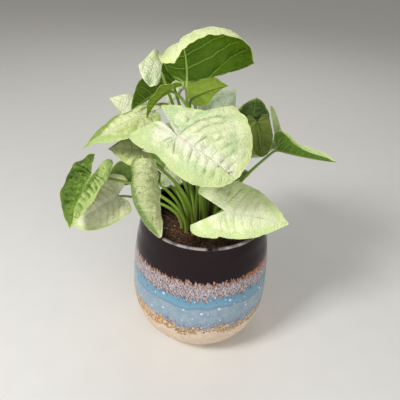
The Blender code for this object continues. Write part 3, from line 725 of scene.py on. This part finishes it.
def half_outline(leaf, half, count):
    """The flat edge of the left half (0) or right half (1): x towards the tip, y towards the leaf's left."""
    width, lobe, belly = leaf["width"][half], leaf["lobe"][half], leaf["belly"][half]
    splay = radians(leaf["splay"][half])
    slim = 0.3 * (1 - 1 / belly)
    side = 1 if half == 0 else -1
    points = []
    for along, across in smooth_through(np.array(OUTLINES[leaf["shape"][half]]) / 100, count):
        along = max(-1.0, min(1.0, along))
        x = along * (blade_length(leaf) if along > 0 else lobe)
        y = width * copysign(abs(across) ** (1 / belly), across) * (1 - slim * (1 - max(along, 0)) ** 2)
        turn = splay * min(max(-3 * along, 0), 1)
        points.append((x * cos(turn) + y * sin(turn), side * (y * cos(turn) - x * sin(turn))))
    return np.array(points)


def midrib(leaf):
    """The bent midrib as a fine line from behind the lobes to past the tip: distances, places, directions."""
    length, lobe = blade_length(leaf), max(leaf["lobe"])
    along = np.linspace(-1.3 * lobe, 1.1 * length, 141)
    share = np.clip(along / length, 0, None)
    pitch = radians(leaf["arch"]) * (0.5 - share) + radians(leaf["droop"]) * np.clip(-along / lobe, 0, None)
    heading = radians(leaf["sweep"]) * (0.5 - share)
    ahead = np.stack([np.cos(pitch) * np.cos(heading), np.cos(pitch) * np.sin(heading), np.sin(pitch)], -1)
    path = np.cumsum(ahead, 0) * (along[1] - along[0])
    return along, path - read(along, path, 0), ahead


def read(along, table, at):
    """Rows of a table read at given distances along the midrib."""
    return np.stack([np.interp(at, along, table[:, k]) for k in range(3)], -1)


def place(leaf, flat, halves):
    """Points of a flat blade, bent into their real place in mm. halves says which half each is in."""
    length = blade_length(leaf)
    along, path, heading = midrib(leaf)
    x = flat[:, 0]
    across = np.where(halves == 0, flat[:, 1], -flat[:, 1])
    centre, ahead = read(along, path, x), unit_rows(read(along, heading, x))
    left = unit_rows(np.cross((0, 0, 1.0), ahead))
    up = np.cross(ahead, left)
    fold = np.radians(np.array(leaf["fold"], float))[halves]
    width = np.array(leaf["width"], float)[halves]
    rate = np.radians(np.array(leaf["curl"], float))[halves] / width
    rate = np.where(np.abs(rate) < 1e-6, 1e-6, rate)
    out = (np.sin(fold + rate * across) - np.sin(fold)) / rate * np.where(halves == 0, 1, -1)
    rise = (np.cos(fold) - np.cos(fold + rate * across)) / rate
    height, count, start = leaf["wave"]
    turns = count * x / length + start + 0.37 * halves
    rise = rise + height * np.sin(2 * pi * turns) * (across / width) ** 2
    local = centre + left * out[:, None] + up * rise[:, None]
    return from_chord(leaf, local, read(along, path, length))


def from_chord(leaf, local, end):
    """Turn a blade bent about its own axes so that it runs from its stalk to its tip and faces its way."""
    a, b = np.array(leaf["attach"], float), np.array(leaf["tip"], float)
    ahead = unit(b - a)
    up = np.array(leaf["facing"], float)
    up = unit(up - (up @ ahead) * ahead)
    own_ahead = unit(end)
    own_left = unit(np.cross((0, 0, 1.0), own_ahead))
    own = np.stack([own_ahead, own_left, np.cross(own_ahead, own_left)], -1)
    return a + local @ own @ np.stack([ahead, np.cross(up, ahead), up])


def stalk_line(leaf, steps):
    """The stalk's centre line: up out of the soil, then one curve over to the blade."""
    end = np.array(leaf["attach"], float)
    start = np.array((*leaf["root"], STALK_START_HEIGHT), float)
    ahead, up = blade_axes(leaf)
    arrive = unit(0.5 * ahead + 0.8 * up) if leaf["arrive"] is None else unit(np.array(leaf["arrive"], float))
    reach = np.linalg.norm(end - start)
    lift = np.array((0, 0, 0.45 * reach))
    t = np.linspace(0, 1, steps)[:, None]
    curve = ((1 - t) ** 3 * start + 3 * (1 - t) ** 2 * t * (start + lift)
             + 3 * (1 - t) * t ** 2 * (end - 0.25 * reach * arrive) + t ** 3 * end)
    return np.vstack([start - (0, 0, STALK_IN_SOIL), curve])


def blade_axes(leaf):
    """The blade's directions at its stalk: towards the tip, and out of its upper side."""
    near = place(leaf, np.array([(0, 0), (2, 0), (0, 2), (0, -2)], float), np.array([0, 0, 0, 1]))
    ahead, left = unit(near[1] - near[0]), unit(near[2] - near[3])
    return ahead, np.cross(ahead, left)


def vein_pattern(leaf, flat, gap):
    """Where each flat point lies between side veins, whole numbers on a vein, and how far apart they are.
    Veins leave the midrib squarely and bend towards the tip. Those of the lobes spread from the stalk."""
    across = np.abs(flat[:, 1])
    width = np.where(flat[:, 1] > 0, *leaf["width"])
    bend = 0.05 * across + 0.6 * across ** 2 / width
    ahead = flat[:, 0] - bend + VEIN_WANDER * field(flat, 9.0, leaf["tip"][2])
    spread = np.maximum(0.42 * np.hypot(flat[:, 0], flat[:, 1]), 0.8)
    gaps = np.where(ahead > 0, gap, np.minimum(spread, 1.6 * gap))
    return ahead / gaps, gaps


def field(flat, size, start):
    """Smooth noise over the flat blade, -1 to 1, with bumps about size millimetres wide."""
    return np.array([noise.noise(Vector((x / size, y / size, start))) for x, y in flat])


def quilting(leaf, look, flat, rim, phase):
    """Relief in mm: puffs between side veins that fade at the midrib and margin, blisters and a slow rumple.
    Then how puffy each place is, 0 to 1."""
    left, across = flat[:, 1] > 0, np.abs(flat[:, 1])
    heights = np.where(left, *look["quilt"])
    puffs = np.where(left, *look["puffs"])
    slow = field(flat, 12.0, leaf["attach"][0])
    blisters = field(flat, 4.2, leaf["attach"][1])
    fine = field(flat, 2.0, leaf["attach"][2])
    fade = np.clip(across / 2.5, 0, 1) * np.clip(rim * 3, 0, 1) * (1 - rim ** 6)
    near = np.clip((puffs + 5 * slow - across) / 5 + 0.5, 0.12, 1)
    round_off = np.clip(0.75 + 1.2 * field(flat, 7.0, leaf["tip"][1]), 0.15, 1.5)
    between = np.abs(np.sin(pi * phase)) ** 0.7 - 0.5
    relief = heights * fade * (near * between * round_off + look["blisters"] * (blisters + 0.35 * fine))
    return relief + look["rumple"] * slow * np.clip(rim * 1.5, 0, 1) * (0.5 + 0.5 * rim), near


def sheet_normals(points, count, rings):
    """The direction out of the upper side at each point of a blade's rings."""
    grid = np.concatenate([np.repeat(points[:1], count, 0)[None], points[1:].reshape(rings, count, 3)])
    outwards = np.gradient(grid, axis=0)
    sideways = np.gradient(grid, axis=1)
    normals = np.cross(sideways, outwards)
    normals /= np.maximum(np.linalg.norm(normals, axis=2), 1e-9)[..., None]
    first = unit(normals[1].mean(0))
    return np.vstack([first[None], normals[1:].reshape(-1, 3)])


def sheet_faces(count, rings):
    """The faces of a closed blade: upper side, lower side and the edge all round."""
    total = 1 + rings * count
    faces = [(0, i + 2, i + 1) for i in range(count - 1)] + grid_faces(rings, count, 1, closed=False)
    lower = shift([face[::-1] for face in faces], total)
    last = 1 + (rings - 1) * count
    edges = [(q + 1, q) for q in range(last, last + count - 1)]
    spokes = [0] + [1 + ring * count for ring in range(rings)]
    edges += [(b, a) for a, b in zip(spokes, spokes[1:])]
    spokes = [0] + [count + ring * count for ring in range(rings)]
    edges += list(zip(spokes, spokes[1:]))
    return faces + lower + [(b, a, a + total, b + total) for a, b in edges]


def blade(leaf, look):
    """A blade's points, faces and the values that its material reads."""
    half_count, rings = next((c, r) for width, c, r in MESHES if max(leaf["width"]) >= width)
    edge = np.vstack([half_outline(leaf, 0, half_count)[::-1], half_outline(leaf, 1, half_count)[1:]])
    edge *= 1 - EDGE_NICKS * np.clip(field(edge, 5.0, leaf["tip"][0]) + 0.2, 0, 1)[:, None]
    count = len(edge)
    shares = np.linspace(0, 1, rings + 1)[1:]
    flat = np.vstack([(0, 0), *(edge * share for share in shares)])
    rim = np.concatenate([[0], np.repeat(shares, count)])
    halves = np.concatenate([[0], np.tile([0] * half_count + [1] * (count - half_count), rings)])
    phase, gaps = vein_pattern(leaf, flat, look["gap"])
    points = place(leaf, flat, halves)
    relief, near = quilting(leaf, look, flat, rim, phase)
    points = points + sheet_normals(points, count, rings) * relief[:, None]
    normals = sheet_normals(points, count, rings)
    thin = BLADE_THICKNESS / 2 * (1 - 0.6 * rim ** 8)
    sides = np.vstack([points + normals * thin[:, None], points - normals * thin[:, None]])
    reach = np.clip(flat[:, 0] / blade_length(leaf), 0, 1)
    vein = np.tile(np.stack([phase, gaps, reach], -1), (2, 1))
    plan = np.tile(np.stack([flat[:, 0], flat[:, 1], rim], -1), (2, 1))
    under = np.repeat([0.0, 1.0], len(flat))
    return sides, sheet_faces(count, rings), vein, plan, under, np.tile(near, 2)


def stem_line(leaf, steps):
    """The stalk and, running on from it, the midrib below the blade: places, radii, shares of the stalk."""
    stalk = stalk_line(leaf, steps)
    length = blade_length(leaf)
    ahead = np.linspace(0.03, MIDRIB_REACH, steps // 2) * length

    def beside(offset, half):
        return place(leaf, np.stack([ahead, np.full_like(ahead, offset)], -1), np.full(len(ahead), half))

    rib = beside(0.0, 0)
    out = unit_rows(np.cross(np.gradient(rib, axis=0), beside(0.5, 0) - beside(-0.5, 1)))
    rib_radii = np.linspace(STALK_TOP_RADIUS * 0.9, MIDRIB_END_RADIUS, len(ahead))
    rib = rib - out * (rib_radii * 0.75)[:, None]
    stalk[-1] -= blade_axes(leaf)[1] * STALK_TOP_RADIUS * 0.8
    line = np.vstack([stalk, rib])
    for _ in range(3):
        joint = slice(len(stalk) - 3, len(stalk) + 3)
        smooth = line.copy()
        smooth[1:-1] = (line[:-2] + 2 * line[1:-1] + line[2:]) / 4
        line[joint] = smooth[joint]
    share = np.linspace(0, 1, len(stalk))
    radii = STALK_FOOT_RADIUS + (STALK_TOP_RADIUS - STALK_FOOT_RADIUS) * share ** 0.7
    return line, np.concatenate([radii, rib_radii]), np.concatenate([share, np.full(len(rib), 1.0)])


def tube(line, radii, sides):
    """A closed tube along a line: points, faces, and each point's step along and turn around."""
    ahead = unit_rows(np.gradient(line, axis=0))
    side = np.cross(ahead[0], (0.3, 1.0, 0.1))
    turns = np.linspace(0, 2 * pi, sides, endpoint=False)
    rows = []
    for spot, way, radius in zip(line, ahead, radii):
        side = unit(side - (side @ way) * way)
        up = np.cross(way, side)
        rows.append(spot + radius * (np.cos(turns)[:, None] * side + np.sin(turns)[:, None] * up))
    faces = grid_faces(len(line), sides)
    faces.append(tuple(reversed(range(sides))))
    faces.append(tuple(range((len(line) - 1) * sides, len(line) * sides)))
    return np.vstack(rows), faces


def build_leaf(name, leaf, stalk_paint):
    """One leaf: a thin quilted blade and its stalk, which runs on as the midrib."""
    look = LOOKS.get(name, PLAIN)
    node = "leaf_" + name
    points, faces, vein, plan, under, puffy = blade(leaf, look)
    line, radii, share = stem_line(leaf, STALK_STEPS)
    stem, stem_faces = tube(line, radii, STALK_SIDES)
    parts = [0] * len(faces) + [1] * len(stem_faces)
    faces = faces + shift(stem_faces, len(points))
    materials = [blade_material(node + "_blade", look), stalk_paint]
    piece = new_piece(node + "_fine", np.vstack([points, stem]), faces, materials, node, parts)
    nothing = np.zeros((len(stem), 3))
    note(piece, "vein", "FLOAT_VECTOR", np.vstack([vein, nothing]))
    note(piece, "flat", "FLOAT_VECTOR", np.vstack([plan, nothing]))
    note(piece, "under", "FLOAT", np.concatenate([under, nothing[:, 0]]))
    note(piece, "puffy", "FLOAT", np.concatenate([puffy, nothing[:, 0]]))
    turn = np.tile(np.abs(np.linspace(-1, 1, STALK_SIDES)), len(line))
    offset = share * 3 + leaf["root"][0]
    stalk = np.stack([np.repeat(share, STALK_SIDES), turn, np.repeat(offset, STALK_SIDES)], -1)
    note(piece, "stalk", "FLOAT_VECTOR", np.vstack([np.zeros((len(points), 3)), stalk]))


def pot_radius(height):
    """The pot's outer radius: a rounded foot up to the widest place, then a gentle taper to the rim."""
    if height < POT_WIDEST_HEIGHT:
        drop = 1 - height / POT_WIDEST_HEIGHT
        return POT_FOOT_RADIUS + (POT_WIDEST_RADIUS - POT_FOOT_RADIUS) * sqrt(1 - drop * drop)
    share = (height - POT_WIDEST_HEIGHT) / (POT_HEIGHT - POT_WIDEST_HEIGHT)
    return POT_WIDEST_RADIUS + (POT_RIM_RADIUS - POT_WIDEST_RADIUS) * share ** 2


def pot_profile():
    """Outside from the foot's centre up, over the round lip, and down the inside to the floor's centre."""
    recess, ledge = 1.2, 4.0
    lip_start = POT_HEIGHT - LIP_ROUNDING
    foot = [POT_WIDEST_HEIGHT * (1 - cos(radians(a))) for a in range(3, 91, 3)]
    body = list(np.linspace(POT_WIDEST_HEIGHT, lip_start, 60))[1:]
    outside = [(0.0, recess), (POT_FOOT_RADIUS - ledge - 1, recess), (POT_FOOT_RADIUS - ledge, 0.0),
               (POT_FOOT_RADIUS, 0.0)]
    outside += [(pot_radius(z), z) for z in foot + body]
    middle = pot_radius(lip_start) - POT_WALL / 2
    lip = [(middle + POT_WALL / 2 * cos(a), lip_start + LIP_ROUNDING * sin(a))
           for a in np.radians(np.arange(15, 180, 15))]
    inside = [(pot_radius(z) - POT_WALL, z) for z in np.linspace(lip_start, 2 * POT_FLOOR, 40)]
    return outside + lip + inside + [(POT_FOOT_RADIUS - 1.0, POT_FLOOR), (0.0, POT_FLOOR)]


def glaze_relief(turn, height):
    """How far the outer face stands out: rings from throwing, drips, and glaze that ends above the foot."""
    spot = Vector((9 * cos(turn), 9 * sin(turn), height / 30))
    wander = 3.0 * noise.noise(spot)
    glazed = clamp((height - FOOT_EDGE - wander) / 1.2 + 0.5)
    drips = clamp((height - DRIP_END - 3.0 * noise.noise(spot * 2.6)) / 2.0 + 0.5)
    rings = 0.10 * sin(height / 2.9 + 0.4 * wander)
    rings += 0.22 * noise.noise(Vector((spot.x / 3, spot.y / 3, height / 14)))
    return GLAZE_THICKNESS * (glazed - 1) + DRIP_THICKNESS * drips + (rings if height > 4 else 0) - 0.15


def build_pot():
    """The pot as one turned skin with the glaze's relief."""
    profile = pot_profile()
    foot = 4
    outer = len([1 for radius, height in profile[foot:] if radius >= pot_radius(height) - 0.01])
    points, faces, rows = [], [], []
    for k, (radius, height) in enumerate(profile):
        if radius == 0.0:
            rows.append([len(points)] * POT_SIDES)
            points.append((0.0, 0.0, height))
            continue
        rows.append(list(range(len(points), len(points) + POT_SIDES)))
        for j in range(POT_SIDES):
            turn = 2 * pi * j / POT_SIDES
            out = radius + (glaze_relief(turn, height) if foot <= k < foot + outer else 0)
            points.append((out * cos(turn), out * sin(turn), height))
    for low, high in zip(rows, rows[1:]):
        for j in range(POT_SIDES):
            after = (j + 1) % POT_SIDES
            faces.append(tuple(dict.fromkeys((low[j], low[after], high[after], high[j]))))
    new_piece("pot_glazed", points, faces, [pot_material()], "pot")


def soil_height(x, y):
    """The soil's top: a low mound, lumpy at the scale of its crumbs."""
    share = clamp((hypot(x, y) - SOIL_CROWN_RADIUS) / (SOIL_EDGE_RADIUS - SOIL_CROWN_RADIUS))
    lumps = 1.1 * noise.noise(Vector((x / 9, y / 9, 0))) + 0.8 * noise.noise(Vector((x / 3.2, y / 3.2, 4)))
    return SOIL_CROWN_HEIGHT + (SOIL_EDGE_HEIGHT - SOIL_CROWN_HEIGHT) * share + lumps + 0.3


def soil_ring(radius):
    turns = [2 * pi * j / SOIL_SIDES for j in range(SOIL_SIDES)]
    return [(radius * cos(turn), radius * sin(turn)) for turn in turns]


def build_soil():
    """The soil's body, closed, with a lumpy top."""
    low = SOIL_EDGE_HEIGHT - SOIL_DEPTH
    points = [(0, 0, soil_height(0, 0)), (0, 0, low)]
    for k in range(SOIL_RINGS):
        points += [(x, y, soil_height(x, y)) for x, y in soil_ring(SOIL_EDGE_RADIUS * (k + 1) / SOIL_RINGS)]
    points += [(x, y, low) for x, y in soil_ring(SOIL_EDGE_RADIUS)]
    faces = [(a, d, c, b) for a, b, c, d in grid_faces(SOIL_RINGS + 1, SOIL_SIDES, 2)]
    bottom = 2 + SOIL_RINGS * SOIL_SIDES
    for j in range(SOIL_SIDES):
        after = (j + 1) % SOIL_SIDES
        faces += [(0, 2 + j, 2 + after), (1, bottom + after, bottom + j)]
    soil = soil_material("soil", (40, 28, 20), (88, 60, 42), 3.0)
    new_piece("soil_bed", points, faces, [soil], "soil")


def free_spots(draw, count, margin):
    """Places on the soil clear of the stalks and the pot."""
    roots = [leaf["root"] for leaf in LEAVES.values()]
    found = []
    while len(found) < count:
        x, y = (draw.uniform(-SOIL_EDGE_RADIUS, SOIL_EDGE_RADIUS) for _ in range(2))
        clear = all(hypot(x - a, y - b) > STALK_CLEARANCE + margin for a, b in roots)
        if clear and hypot(x, y) < SOIL_EDGE_RADIUS - 1.5 - margin:
            found.append((x, y))
    return found


def lump(draw, size, sink):
    """A rough pebble: a small ball pushed in and out, flattened and turned, half sunk."""
    ball = bmesh.new()
    bmesh.ops.create_icosphere(ball, subdivisions=2, radius=1.0)
    stretch = [draw.uniform(0.7, 1.3) for _ in range(3)]
    offset = Vector([draw.uniform(0, 90) for _ in range(3)])
    points = []
    for vertex in ball.verts:
        out = 1 + 0.45 * noise.noise(vertex.co * 1.7 + offset)
        points.append([size * out * c * s for c, s in zip(vertex.co, stretch)])
    faces = [tuple(v.index for v in face.verts) for face in ball.faces]
    ball.free()
    points = np.array(points)
    points[:, 2] *= 0.8
    points[:, 2] -= sink * size
    return points, faces


def scatter(name, count, sizes, sink, material, draw):
    """Many lumps on the soil, in one piece."""
    points, faces = [], []
    for x, y in free_spots(draw, count, 0.3 * sizes[1]):
        size = sizes[0] + (sizes[1] - sizes[0]) * draw.random() ** 2
        own, own_faces = lump(draw, size, sink)
        faces += shift(own_faces, len(points))
        points.extend(own + (x, y, soil_height(x, y)))
    new_piece(name, points, faces, [material], None)


def build_slivers(draw):
    """Bark slivers and fibres lying on the soil: short, slightly bent strips with thickness."""
    points, faces = [], []
    for x, y in free_spots(draw, SLIVERS, 2.0):
        length, width = draw.uniform(*SLIVER_LENGTHS), draw.uniform(0.35, 1.0)
        turn, tilt, bend = draw.uniform(0, 2 * pi), draw.uniform(-0.25, 0.35), draw.uniform(-0.6, 0.6)
        line = []
        for t in np.linspace(-0.5, 0.5, len(SLIVER_TAPER)):
            way = turn + bend * t
            line.append((x + length * t * cos(way), y + length * t * sin(way),
                         soil_height(x, y) + 0.5 + length * t * tilt))
        own, own_faces = tube(np.array(line), [width * share for share in SLIVER_TAPER], 6)
        faces += shift(own_faces, len(points))
        points.extend(own)
    bark = soil_material("bark", (78, 48, 30), (164, 112, 70), 2.0, 0.8)
    new_piece("bark_slivers", points, faces, [bark], None)


def sheath_faces():
    """The faces of a thin closed scrap, whose outer points come before its inner ones."""
    rows, columns = SHEATH_ROWS, SHEATH_COLUMNS
    inner = rows * columns
    faces = []
    for a, b, c, d in grid_faces(rows, columns, closed=False):
        faces += [(a, d, c, b), (inner + b, inner + c, inner + d, inner + a)]
    rim = list(range(columns)) + [i * columns + columns - 1 for i in range(1, rows)]
    rim += [(rows - 1) * columns + j for j in range(columns - 2, -1, -1)]
    rim += [i * columns for i in range(rows - 2, 0, -1)]
    return faces + [(a, b, inner + b, inner + a) for a, b in zip(rim, rim[1:] + rim[:1])]


def build_dry_sheaths():
    """Dry brown scraps of old leaf sheaths, curled round the feet of the outer stalks."""
    points, faces = [], []
    for (x, y), top, width in DRY_SHEATHS:
        faces += shift(sheath_faces(), len(points))
        start = np.array((x, y, soil_height(x, y) - 1.0))
        end = np.array(top, float)
        out = unit(np.array((x, y, 0.0)))
        side = np.cross(out, (0, 0, 1.0))
        for layer in (0.0, SHEATH_THICKNESS):
            for i in range(SHEATH_ROWS):
                t = i / (SHEATH_ROWS - 1)
                spine = start + (end - start) * t + out * (3.0 * t * (1 - t))
                half = width / 2 * (1 - t) ** 0.6 + 0.15
                for u in np.linspace(-1, 1, SHEATH_COLUMNS):
                    curl = -1.1 * half * u * u
                    ripple = 0.6 * sin(5 * t + 2 * u)
                    points.append(spine + side * (half * u) + out * (curl - layer) + (0, 0, ripple))
    dry = soil_material("dry_sheath", (150, 112, 66), (196, 162, 104), 2.5, 0.7)
    new_piece("dry_sheaths", points, faces, [dry], None)


def build_camera():
    elevation, roll = radians(CAMERA_ELEVATION), radians(CAMERA_ROLL)
    back = Vector((0, -cos(elevation), sin(elevation)))
    across = Vector((1, 0, 0))
    upright = back.cross(across)
    right = across * cos(roll) + upright * sin(roll)
    up = upright * cos(roll) - across * sin(roll)
    camera = new_object("camera", bpy.data.cameras.new("camera"))
    camera.data.lens = LENS
    place = (Vector(CAMERA_TARGET) + back * CAMERA_DISTANCE) * MM
    camera.matrix_world = Matrix.Translation(place) @ Matrix((right, up, back)).transposed().to_4x4()
    bpy.context.scene.camera = camera


def build_light(name, place, size, power):
    """A soft square light aimed at the plant."""
    light = new_object(name, bpy.data.lights.new(name, "AREA"))
    light.data.size = size
    light.data.energy = power
    light.location = place
    light.rotation_mode = "QUATERNION"
    light.rotation_quaternion = (Vector(LIGHT_TARGET) - Vector(place)).to_track_quat("-Z", "Y")


def build_stage():
    """A plain pale floor, soft studio lights and a pale room."""
    mesh = bpy.data.meshes.new("floor")
    corners = ((-1, -1), (1, -1), (1, 1), (-1, 1))
    points = [(x * FLOOR_HALF_WIDTH, y * FLOOR_HALF_WIDTH, 0) for x, y in corners]
    mesh.from_pydata(points, [], [(0, 1, 2, 3)])
    floor = new_object("floor", mesh)
    paint = Paint("floor", 0.75)
    paint.set("Base Color", paint.mix(paint.noise(paint.millimetres(), 30.0, 4.0), *FLOOR_COLOURS))
    mesh.materials.append(paint.material)
    for name, (place, size, power) in LIGHTS.items():
        build_light(name, place, size, power)
    world = bpy.data.worlds.new("room")
    world.use_nodes = True
    light = world.node_tree.nodes["Background"].inputs
    light["Color"].default_value = linear(ROOM_COLOUR)
    light["Strength"].default_value = ROOM_STRENGTH
    bpy.context.scene.world = world


def main():
    draw = random.Random(SEED)
    build_camera()
    build_stage()
    build_pot()
    build_soil()
    crumbs = soil_material("crumbs", (54, 36, 26), (128, 84, 54), 1.6)
    scatter("soil_crumbs", CRUMBS, CRUMB_SIZES, 0.35, crumbs, draw)
    grains = soil_material("grains", (196, 188, 172), (232, 228, 216), 1.0)
    scatter("white_grains", GRAINS, GRAIN_SIZES, 0.1, grains, draw)
    build_slivers(draw)
    build_dry_sheaths()
    pale_stalk = stalk_material("stalk", STALK_TOP_COLOUR)
    dark_stalk = stalk_material("dark_stalk", DARK_STALK_TOP_COLOUR)
    for name, leaf in LEAVES.items():
        build_leaf(name, leaf, dark_stalk if name in DARK_LEAVES else pale_stalk)
    bpy.context.scene.view_settings.view_transform = "Standard"


main()
